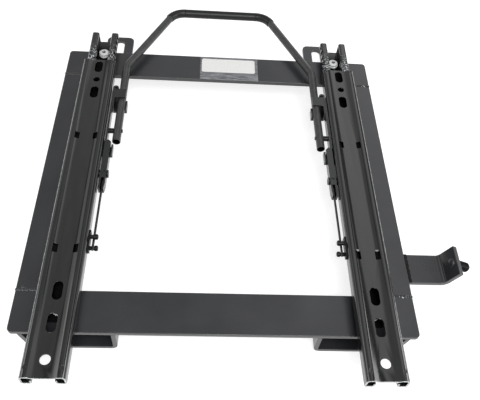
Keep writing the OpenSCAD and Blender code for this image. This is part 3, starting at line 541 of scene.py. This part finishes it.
shoulder_wear_and_highlight = add_node(upper_coat, "ShaderNodeMath", {
    0: shoulder_wear_and_highlight.outputs[0], 1: thin.outputs["Result"]}, operation="MULTIPLY")
glints_and_wear = add_node(upper_coat, "ShaderNodeMath", {
    0: window_glint.outputs[0], 1: shoulder_wear_and_highlight.outputs[0]}, operation="MAXIMUM")
bare_share = upper_coat.node_tree.nodes["paint_or_steel"].inputs["Fac"]
bare = add_node(upper_coat, "ShaderNodeMath", {
    0: bare_share.links[0].from_socket, 1: glints_and_wear.outputs[0]}, operation="MAXIMUM")
upper_coat.node_tree.links.new(bare.outputs[0], bare_share)

for side in ("left", "right"):
    coat(ease_edges(side + "_upper_rail", upper_edge, side + "_carriage"), upper_coat)


# The latch on each upper rail: a riveted pivot pin and an anchor plate with two pegs,
# both of blackened steel, and a straight spring wire that pushes the lever's fork back.

# Spring wire: cold-drawn steel, oiled, with a grey gleam and fine marks along it.
spring_wire = new_material("oiled_spring_wire")
place = add_node(spring_wire, "ShaderNodeTexCoord").outputs["Object"]
drawn = add_node(spring_wire, "ShaderNodeMapping", {
    "Vector": place, "Scale": (1 / (0.6 * MM), 1 / (25 * MM), 1 / (0.6 * MM))})
marks = add_node(spring_wire, "ShaderNodeTexNoise", {
    "Vector": drawn.outputs["Vector"], "Scale": 1.0, "Detail": 3.0})
tone = add_node(spring_wire, "ShaderNodeValToRGB", {"Fac": marks.outputs["Fac"]},
                stops=((0.3, "#343536"), (0.7, "#66686a")))
shader = add_node(spring_wire, "ShaderNodeBsdfPrincipled", {
    "Base Color": tone.outputs["Color"], "Metallic": 1.0, "Roughness": 0.32})
add_node(spring_wire, "ShaderNodeOutputMaterial", {"Surface": shader.outputs["BSDF"]})

for side in ("left", "right"):
    coat(nodes[side + "_spring_wire"], spring_wire)
    coat(nodes[side + "_spring_anchor"], black_oxide)
    coat(nodes[side + "_pivot_pin"], black_oxide)


# The levers and clips: pressings of 2 to 2.5 mm sheet. Each lever is folded over
# along its rear half, and the clip riveted to it closes over the handle's leg. A
# blackened pin goes through the lever and the leg.
lever_edge = 0.15 * MM
clip_edge = 0.25 * MM

# Electro coat on pressings: the rails' black film over sheet that the press has
# roughened, so it is duller and finely mottled.
pressed_coat = new_material("electro_coat_pressings")
place = add_node(pressed_coat, "ShaderNodeTexCoord").outputs["Object"]
mottle = add_node(pressed_coat, "ShaderNodeTexNoise", {
    "Vector": place, "Scale": 1 / (3 * MM), "Detail": 4.0})
tone = add_node(pressed_coat, "ShaderNodeValToRGB", {"Fac": mottle.outputs["Fac"]},
                stops=((0.35, "#151716"), (0.65, "#222524")))
gloss = add_node(pressed_coat, "ShaderNodeMapRange", {
    "Value": mottle.outputs["Fac"], "To Min": 0.18, "To Max": 0.30})
shader = add_node(pressed_coat, "ShaderNodeBsdfPrincipled", {
    "Base Color": tone.outputs["Color"], "Roughness": gloss.outputs["Result"],
    "IOR": 1.5, "Specular IOR Level": 0.7})
add_node(pressed_coat, "ShaderNodeOutputMaterial", {"Surface": shader.outputs["BSDF"]})

for side in ("left", "right"):
    coat(ease_edges(side + "_lever", lever_edge, "release"), pressed_coat)
    coat(ease_edges(side + "_clip", clip_edge, "release"), pressed_coat)
    coat(nodes[side + "_cross_pin"], black_oxide)


# The release handle: 11 mm steel tube bent to a loop, with its ends sawn off and left
# open, enamelled black and held by the clips and cross pins.
leg_x = 135.05 * MM
leg_z = 55 * MM
leg_front_y = 330 * MM
dark_bore_r = 4.6 * MM

# Enamel: a smooth dark grey-black paint, thick enough to flow in gentle waves, which
# soften the long highlights on the tube.
enamel = new_material("black_enamel_tube")
place = add_node(enamel, "ShaderNodeTexCoord").outputs["Object"]
wave = add_node(enamel, "ShaderNodeTexNoise", {
    "Vector": place, "Scale": 1 / (8 * MM), "Detail": 3.0})
tone = add_node(enamel, "ShaderNodeValToRGB", {"Fac": wave.outputs["Fac"]},
                stops=((0.3, "#353636"), (0.7, "#424342")))
gloss = add_node(enamel, "ShaderNodeMapRange", {
    "Value": wave.outputs["Fac"], "To Min": 0.20, "To Max": 0.30})
shader = add_node(enamel, "ShaderNodeBsdfPrincipled", {
    "Base Color": tone.outputs["Color"], "Roughness": gloss.outputs["Result"], "IOR": 1.5})
# No enamel reaches the bore. The bore, and the inner half of the sawn rim round it, are
# painted black and dull: painted shade inside the open tube ends.
folded = add_node(enamel, "ShaderNodeVectorMath", {0: place}, operation="ABSOLUTE")
folded = add_node(enamel, "ShaderNodeVectorMath", {
    0: folded.outputs[0], 1: (leg_x, 0.0, leg_z)}, operation="SUBTRACT")
folded = add_node(enamel, "ShaderNodeVectorMath", {
    0: folded.outputs[0], 1: (1.0, 0.0, 1.0)}, operation="MULTIPLY")
from_axis = add_node(enamel, "ShaderNodeVectorMath", {0: folded.outputs[0]}, operation="LENGTH")
inside = add_node(enamel, "ShaderNodeMath", {
    0: from_axis.outputs["Value"], 1: dark_bore_r}, operation="LESS_THAN")
axes = add_node(enamel, "ShaderNodeSeparateXYZ", {"Vector": place})
in_leg = add_node(enamel, "ShaderNodeMath", {0: axes.outputs["Y"], 1: leg_front_y}, operation="LESS_THAN")
bore = add_node(enamel, "ShaderNodeMath", {
    0: inside.outputs[0], 1: in_leg.outputs[0]}, operation="MULTIPLY")
bore_painted_shade = add_node(enamel, "ShaderNodeBsdfPrincipled", {
    "Base Color": srgb("#080808"), "Roughness": 0.8, "IOR": 1.5, "Specular IOR Level": 0.05})
tube = add_node(enamel, "ShaderNodeMixShader", {
    0: bore.outputs[0], 1: shader.outputs["BSDF"], 2: bore_painted_shade.outputs["BSDF"]})
add_node(enamel, "ShaderNodeOutputMaterial", {"Surface": tube.outputs[0]})
coat(nodes["handle_rod"], enamel)


# The handle's grip: a sleeve of soft vinyl, dipped over the front of the loop and
# its two front bends, with rounded ends.
grip_edge = 0.6 * MM

# Dipped vinyl: matt black with fine pores, which swallows the highlights of the tube.
vinyl = new_material("dipped_black_vinyl")
place = add_node(vinyl, "ShaderNodeTexCoord").outputs["Object"]
pores = add_node(vinyl, "ShaderNodeTexNoise", {
    "Vector": place, "Scale": 1 / (1.2 * MM), "Detail": 2.0})
tone = add_node(vinyl, "ShaderNodeValToRGB", {"Fac": pores.outputs["Fac"]},
                stops=((0.3, "#121314"), (0.7, "#1a1b1d")))
gloss = add_node(vinyl, "ShaderNodeMapRange", {
    "Value": pores.outputs["Fac"], "To Min": 0.36, "To Max": 0.46})
skin = add_node(vinyl, "ShaderNodeBump", {
    "Height": pores.outputs["Fac"], "Strength": 0.08, "Distance": 0.2 * MM})
shader = add_node(vinyl, "ShaderNodeBsdfPrincipled", {
    "Base Color": tone.outputs["Color"], "Roughness": gloss.outputs["Result"],
    "Normal": skin.outputs["Normal"], "IOR": 1.53, "Specular IOR Level": 0.35})
add_node(vinyl, "ShaderNodeOutputMaterial", {"Surface": shader.outputs["BSDF"]})
coat(ease_edges("handle_grip", grip_edge, "release"), vinyl)


# The label on the front bar: a bare rectangle of coated paper with round corners,
# punched from a roll and stuck down on the strip of film below it.
label_x = (-27 * MM, 52.6 * MM)
label_y = (391 * MM, 419.8 * MM)
label_z = bar_top + 0.35 * MM
label_corner_r = 3 * MM
paper_t = 0.15 * MM
bpy.ops.object.select_all(action="DESELECT")
bpy.ops.mesh.primitive_plane_add(size=1.0, location=(sum(label_x) / 2, sum(label_y) / 2, label_z))
label = bpy.context.object
label.name = "bare_label"
label.scale = (label_x[1] - label_x[0], label_y[1] - label_y[0], 1.0)
bpy.ops.object.transform_apply(location=True, rotation=True, scale=True)
start_edit(label)
bpy.ops.mesh.bevel(offset=label_corner_r, segments=6, affect="VERTICES")
bpy.ops.object.mode_set(mode="OBJECT")
stock = label.modifiers.new("paper_stock", "SOLIDIFY")
stock.thickness = paper_t
stock.offset = 1.0
bpy.ops.object.modifier_apply(modifier=stock.name)

# Coated paper: white and half matt, with the faintest mottle of fibre.
paper = new_material("coated_label_paper")
place = add_node(paper, "ShaderNodeTexCoord").outputs["Object"]
fibre = add_node(paper, "ShaderNodeTexNoise", {
    "Vector": place, "Scale": 1 / (2 * MM), "Detail": 4.0})
tone = add_node(paper, "ShaderNodeValToRGB", {"Fac": fibre.outputs["Fac"]},
                stops=((0.3, "#e6e6e4"), (0.7, "#efefee")))
shader = add_node(paper, "ShaderNodeBsdfPrincipled", {
    "Base Color": tone.outputs["Color"], "Roughness": 0.45, "IOR": 1.5})
add_node(paper, "ShaderNodeOutputMaterial", {"Surface": shader.outputs["BSDF"]})
coat(label, paper)
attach(label, "base")


# The film under the label: a strip of clear plastic tape, pulled across the bar and
# pressed down by hand, so that it is slightly wavy and holds air.
film_x = (-29.5 * MM, 57 * MM)
film_y = (375.6 * MM, 424.4 * MM)
film_z = bar_top + 0.18 * MM
film_t = 0.05 * MM
film_wave = 0.12 * MM
bpy.ops.object.select_all(action="DESELECT")
bpy.ops.mesh.primitive_grid_add(x_subdivisions=64, y_subdivisions=30, size=1.0,
                                location=(sum(film_x) / 2, sum(film_y) / 2, film_z))
film = bpy.context.object
film.name = "label_film"
film.scale = (film_x[1] - film_x[0], film_y[1] - film_y[0], 1.0)
bpy.ops.object.transform_apply(location=True, rotation=True, scale=True)
start_edit(film)
bpy.ops.transform.vertex_random(offset=film_wave, uniform=0.0, normal=1.0, seed=7)
bpy.ops.mesh.vertices_smooth(factor=0.5, repeat=1, xaxis=False, yaxis=False)
bpy.ops.object.mode_set(mode="OBJECT")
gauge = film.modifiers.new("film_gauge", "SOLIDIFY")
gauge.thickness = film_t
gauge.offset = 1.0
bpy.ops.object.modifier_apply(modifier=gauge.name)
bpy.ops.object.shade_smooth()

# Silvered film: air is trapped in streaks 1.3 mm wide and 16 mm long. They scatter
# the light, so that the black bar looks grey through the tape.
clear_film = new_material("silvered_clear_film")
place = add_node(clear_film, "ShaderNodeTexCoord").outputs["Object"]
pulled = add_node(clear_film, "ShaderNodeMapping", {
    "Vector": place, "Scale": (1 / (16 * MM), 1 / (1.3 * MM), 1 / (16 * MM))})
air = add_node(clear_film, "ShaderNodeTexNoise", {
    "Vector": pulled.outputs["Vector"], "Scale": 1.0, "Detail": 5.0, "Roughness": 0.65})
tone = add_node(clear_film, "ShaderNodeValToRGB", {"Fac": air.outputs["Fac"]},
                stops=((0.36, "#484a4e"), (0.66, "#9a9c9f")))
shader = add_node(clear_film, "ShaderNodeBsdfPrincipled", {
    "Base Color": tone.outputs["Color"], "Roughness": 0.22, "IOR": 1.49})
add_node(clear_film, "ShaderNodeOutputMaterial", {"Surface": shader.outputs["BSDF"]})
coat(film, clear_film)
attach(film, "base")


# The studio floor: a large sheet of white paper just under the feet. It glows to the
# camera and in reflections, so that it looks white there and still holds shadows.
floor_z = -0.2 * MM
floor_glow = 0.76
bpy.ops.object.select_all(action="DESELECT")
bpy.ops.mesh.primitive_plane_add(size=12.0, location=(0.0, 0.2, floor_z))
floor = bpy.context.object
floor.name = "floor"

# Floor paper: matt and even white. From below it is clear, so that the feet and the
# welds under the bars can be looked at.
floor_paper = new_material("white_floor_paper")
ray = add_node(floor_paper, "ShaderNodeLightPath")
seen = add_node(floor_paper, "ShaderNodeMath", {
    0: ray.outputs["Is Camera Ray"], 1: ray.outputs["Is Glossy Ray"]}, operation="MAXIMUM")
seen = add_node(floor_paper, "ShaderNodeMath", {
    0: seen.outputs[0], 1: ray.outputs["Is Transmission Ray"]}, operation="MAXIMUM")
lift = add_node(floor_paper, "ShaderNodeMath", {0: seen.outputs[0], 1: floor_glow}, operation="MULTIPLY")
matt = add_node(floor_paper, "ShaderNodeBsdfDiffuse", {"Color": srgb("#bababa")})
glow = add_node(floor_paper, "ShaderNodeEmission", {
    "Color": srgb("#ffffff"), "Strength": lift.outputs[0]})
both = add_node(floor_paper, "ShaderNodeAddShader", {0: matt.outputs[0], 1: glow.outputs[0]})
side_seen = add_node(floor_paper, "ShaderNodeNewGeometry")
clear = add_node(floor_paper, "ShaderNodeBsdfTransparent")
one_way = add_node(floor_paper, "ShaderNodeMixShader", {
    0: side_seen.outputs["Backfacing"], 1: both.outputs[0], 2: clear.outputs[0]})
add_node(floor_paper, "ShaderNodeOutputMaterial", {"Surface": one_way.outputs[0]})
coat(floor, floor_paper)


# The studio round the floor: white to the camera. Glossy paint sees it bright just
# above the floor, dark at wall height, and hung overhead with pale strips and dark
# gaps, which draw the long lines on the rails. Matt surfaces get one even level.
even_level = 0.34
surround = bpy.data.worlds.new("studio_surround")
bpy.context.scene.world = surround
surround.use_nodes = True
surround.node_tree.nodes.clear()
ray = add_node(surround, "ShaderNodeLightPath")
seen = add_node(surround, "ShaderNodeMath", {
    0: ray.outputs["Is Camera Ray"], 1: ray.outputs["Is Glossy Ray"]}, operation="MAXIMUM")
seen = add_node(surround, "ShaderNodeMath", {
    0: seen.outputs[0], 1: ray.outputs["Is Transmission Ray"]}, operation="MAXIMUM")
toward = add_node(surround, "ShaderNodeTexCoord").outputs["Generated"]
aim = add_node(surround, "ShaderNodeSeparateXYZ", {"Vector": toward})
wall = add_node(surround, "ShaderNodeMapRange", {
    "Value": aim.outputs["Z"], "From Min": 0.06, "From Max": 0.26, "To Min": 1.0, "To Max": 0.12})
above = add_node(surround, "ShaderNodeMapRange", {
    "Value": aim.outputs["Z"], "From Min": 0.22, "From Max": 0.42})
across = add_node(surround, "ShaderNodeMapRange", {"Value": aim.outputs["X"], "From Min": -1.0})
strips = add_node(surround, "ShaderNodeValToRGB", {"Fac": across.outputs["Result"]})
# Each strip edge is a direction, from -1 at the left to 1 at the right, and its light.
strip_edges = ((-0.52, 0.65), (-0.45, 0.05), (-0.36, 0.05), (-0.28, 0.34), (0.08, 0.34),
               (0.26, 0.98), (0.35, 0.98), (0.43, 0.05), (0.70, 0.0), (0.78, 0.8))
stops = strips.color_ramp.elements
stops.remove(stops[1])
for direction, light in strip_edges:
    stops.new((direction + 1) / 2).color = (light, light, light, 1.0)
stops[0].color = stops[1].color
overhead = add_node(surround, "ShaderNodeMath", {
    0: strips.outputs["Color"], 1: above.outputs["Result"]}, operation="MULTIPLY")
forward = add_node(surround, "ShaderNodeMapRange", {
    "Value": aim.outputs["Z"], "From Min": 0.66, "From Max": 0.86, "To Min": 1.15, "To Max": 0.90})
overhead = add_node(surround, "ShaderNodeMath", {
    0: overhead.outputs[0], 1: forward.outputs["Result"]}, operation="MULTIPLY")
around = add_node(surround, "ShaderNodeMath", {
    0: wall.outputs["Result"], 1: overhead.outputs[0]}, operation="ADD")
around = add_node(surround, "ShaderNodeMath", {
    0: around.outputs[0], 1: ray.outputs["Is Camera Ray"]}, operation="MAXIMUM")
level = add_node(surround, "ShaderNodeMix", {
    "Factor": seen.outputs[0], "A": even_level, "B": around.outputs[0]})
sky = add_node(surround, "ShaderNodeBackground", {
    "Color": srgb("#ffffff"), "Strength": level.outputs["Result"]})
add_node(surround, "ShaderNodeOutputWorld", {"Surface": sky.outputs[0]})


# The lamps: round soft boxes, a key at the right, the strongest one high behind the
# camera, and a weak fill at the left, so that faint shadows fall forward and left.
lit_point = Vector((0.0, 0.2, 0.0))
for name, spot, size, energy in (("key_soft_box", (1.60, 0.20, 0.95), 1.2, 14),
                                 ("back_soft_box", (0.20, -0.90, 1.90), 1.0, 27),
                                 ("fill_soft_box", (-1.40, 0.30, 0.90), 0.9, 3)):
    bpy.ops.object.light_add(type="AREA", location=spot)
    soft_box = bpy.context.object
    soft_box.name = name
    soft_box.data.shape = "DISK"
    soft_box.data.size = size
    soft_box.data.energy = energy
    soft_box.rotation_euler = (lit_point - soft_box.location).to_track_quat("-Z", "Y").to_euler()


# The camera: it stands behind the rear bar and looks down along the rails, rolled by
# a few degrees, with the place and lens fitted to the base's edges and corners.
camera_spot = Vector((-0.0240, -0.2896, 0.6486))
camera_right = Vector((0.99729, -0.01534, 0.07187))
camera_up = Vector((-0.03014, 0.80651, 0.59046))
camera_back = camera_right.cross(camera_up).normalized()
bpy.ops.object.camera_add()
camera = bpy.context.object
camera.name = "photo_camera"
camera.data.sensor_fit = "HORIZONTAL"
camera.data.sensor_width = 36.0
camera.data.lens = 44.85
turned = Matrix((camera_right, camera_back.cross(camera_right), camera_back)).transposed().to_4x4()
camera.matrix_world = Matrix.Translation(camera_spot) @ turned
bpy.context.scene.camera = camera
bpy.context.scene.view_settings.view_transform = "Standard"
